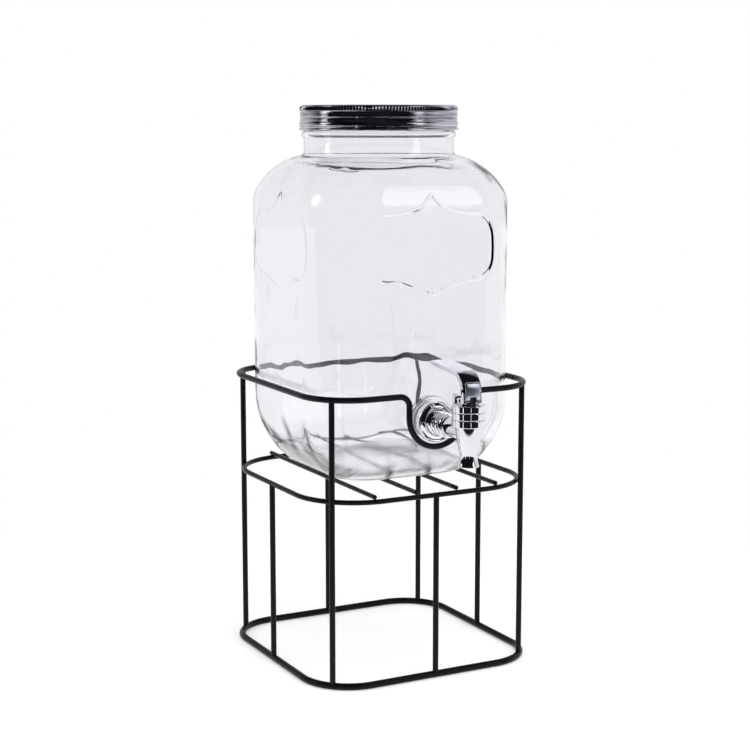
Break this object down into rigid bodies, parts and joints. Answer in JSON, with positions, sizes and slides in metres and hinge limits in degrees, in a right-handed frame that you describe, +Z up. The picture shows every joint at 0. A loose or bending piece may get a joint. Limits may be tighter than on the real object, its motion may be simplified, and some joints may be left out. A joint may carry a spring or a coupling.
{
  "type": "juice dispenser",
  "caption": "Square glass drink jar with rounded corners, screw lid and lever tap, lifted out of a black wire stand with a slatted shelf.",
  "frame": {"origin": "On the stand's vertical axis at the floor, under the middle of the base ring.", "axes": "+Z up along the jar's axis; the tap points along -Y and its lever turns about +X."},
  "size_m": [0.218, 0.2815, 0.4916],
  "materials": {
    "black_paint": "satin black paint on steel wire",
    "clear_glass": "clear pressed glass",
    "tinplate": "bright tinplate, lightly brushed",
    "liner_white": "soft sealing compound",
    "plated_plastic": "chrome-plated plastic",
    "nut_plastic": "satin moulded plastic",
    "silicone": "translucent silicone",
    "stem_plastic": "black moulded plastic",
    "pin_steel": "ground steel"
  },
  "bodies": {
    "stand": {"base_ring": "black_paint", "shelf_ring": "black_paint", "top_rail": "black_paint", "corner_leg_front_left": "black_paint", "corner_leg_front_right": "black_paint", "corner_leg_rear_right": "black_paint", "corner_leg_rear_left": "black_paint", "side_leg_front": "black_paint", "side_leg_right": "black_paint", "side_leg_rear": "black_paint", "side_leg_left": "black_paint", "shelf_slat_1": "black_paint", "shelf_slat_2": "black_paint", "shelf_slat_3": "black_paint", "shelf_slat_4": "black_paint"},
    "jar": {"glass_foot": "clear_glass", "glass_jar": "clear_glass", "glass_shoulder": "clear_glass", "glass_mouth": "clear_glass", "tap_body": "plated_plastic", "outer_washer": "silicone", "inner_washer": "silicone", "tap_nut": "nut_plastic", "bonnet": "plated_plastic", "stem_seal": "silicone"},
    "valve": {"valve_stem": "stem_plastic", "seat_cup": "silicone"},
    "tap_lever": {"lever": "plated_plastic", "lever_pin": "pin_steel"},
    "liner": {"lid_liner": "liner_white"},
    "lid": {"lid_shell": "tinplate"}
  },
  "joints": [
    {"name": "jar_lift", "type": "slide", "parent": "stand", "child": "jar", "axis": [0, 0, 1], "range_m": [0, 0.12]},
    {"name": "stem_lift", "type": "slide", "parent": "jar", "child": "valve", "axis": [0, 0, 1], "range_m": [0, 0.0025]},
    {"name": "lever_pull", "type": "hinge", "parent": "valve", "child": "tap_lever", "pos_m": [0, -0.1585, 0.2522], "axis": [1, 0, 0], "range_deg": [0, 60]},
    {"name": "lid_rise", "type": "slide", "parent": "jar", "child": "liner", "axis": [0, 0, 1], "range_m": [0, 0.0254]},
    {"name": "lid_turn", "type": "hinge", "parent": "liner", "child": "lid", "pos_m": [0, 0, 0.4805], "axis": [0, 0, 1], "range_deg": [0, 1800]}
  ],
  "couplings": [
    {"joint": "lever_pull", "follows": "stem_lift", "rad_per_m": 418.87},
    {"joint": "lid_turn", "follows": "lid_rise", "rad_per_m": 1236.8}
  ]
}
